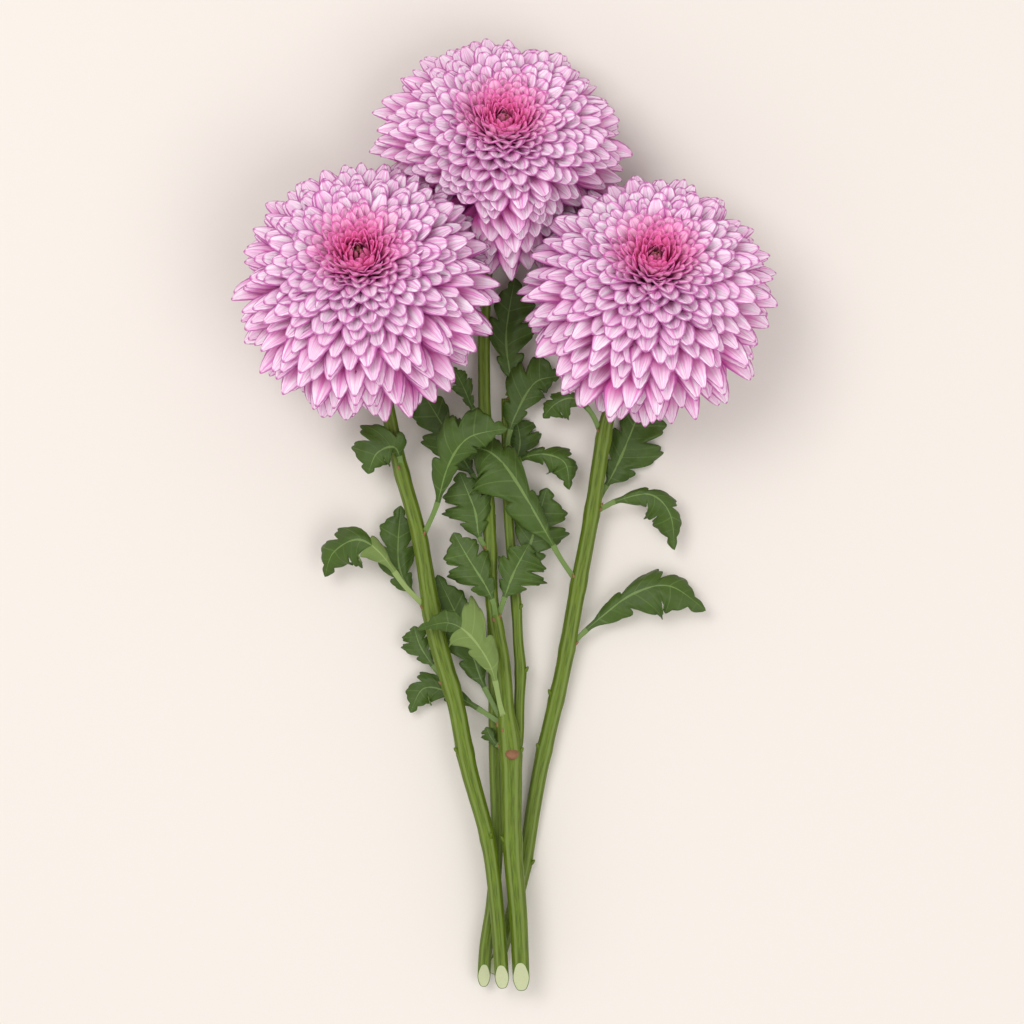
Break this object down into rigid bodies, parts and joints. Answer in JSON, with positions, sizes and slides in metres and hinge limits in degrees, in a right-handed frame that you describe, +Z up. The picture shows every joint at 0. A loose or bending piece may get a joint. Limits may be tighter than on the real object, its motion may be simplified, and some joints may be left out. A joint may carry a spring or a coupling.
{
  "type": "bunch of cut chrysanthemums",
  "caption": "Cut bunch of large ball-shaped double pink chrysanthemums on leafy green stems, laid down flat with the slanting cut ends together.",
  "frame": {"origin": "on the flat surface the bunch lies on, under the middle of its overall box", "axes": "+Z up from the surface; +Y along the stems from the cut ends to the blooms; +X to the right as seen from above with the blooms away from the viewer"},
  "size_m": [0.2347, 0.4241, 0.0975],
  "materials": {
    "petal": "soft matt pale pink petals with deeper pink edges and tips",
    "heart": "soft matt deep rose closed florets",
    "calyx": "matt grey-green bracts",
    "stem": "smooth ribbed green stem with a low sheen",
    "leaf": "matt dark green leaf with lighter veins"
  },
  "bodies": {
    "root": {"back_stem": "stem", "centre_back_petals": "petal", "centre_calyx": "calyx", "centre_heart": "heart", "centre_inner_petals": "petal", "centre_leaf_1": "leaf", "centre_leaf_2": "leaf", "centre_leaf_3": "leaf", "centre_leaf_4": "leaf", "centre_leaf_5": "leaf", "centre_leaf_6": "leaf", "centre_leaf_7": "leaf", "centre_leaf_8": "leaf", "centre_leaf_9": "leaf", "centre_lower_petals": "petal", "centre_middle_petals": "petal", "centre_stem": "stem", "centre_upper_petals": "petal", "left_back_petals": "petal", "left_calyx": "calyx", "left_heart": "heart", "left_inner_petals": "petal", "left_leaf_1": "leaf", "left_leaf_2": "leaf", "left_leaf_3": "leaf", "left_leaf_4": "leaf", "left_leaf_5": "leaf", "left_lower_petals": "petal", "left_middle_petals": "petal", "left_stem": "stem", "left_upper_petals": "petal", "right_back_petals": "petal", "right_calyx": "calyx", "right_heart": "heart", "right_inner_petals": "petal", "right_leaf_1": "leaf", "right_leaf_2": "leaf", "right_leaf_3": "leaf", "right_leaf_4": "leaf", "right_leaf_5": "leaf", "right_lower_petals": "petal", "right_middle_petals": "petal", "right_stem": "stem", "right_upper_petals": "petal", "shoot_leaf_1": "leaf", "shoot_leaf_2": "leaf", "shoot_leaf_3": "leaf", "shoot_leaf_4": "leaf", "shoot_leaf_5": "leaf", "shoot_stem": "stem"}
  },
  "joints": []
}
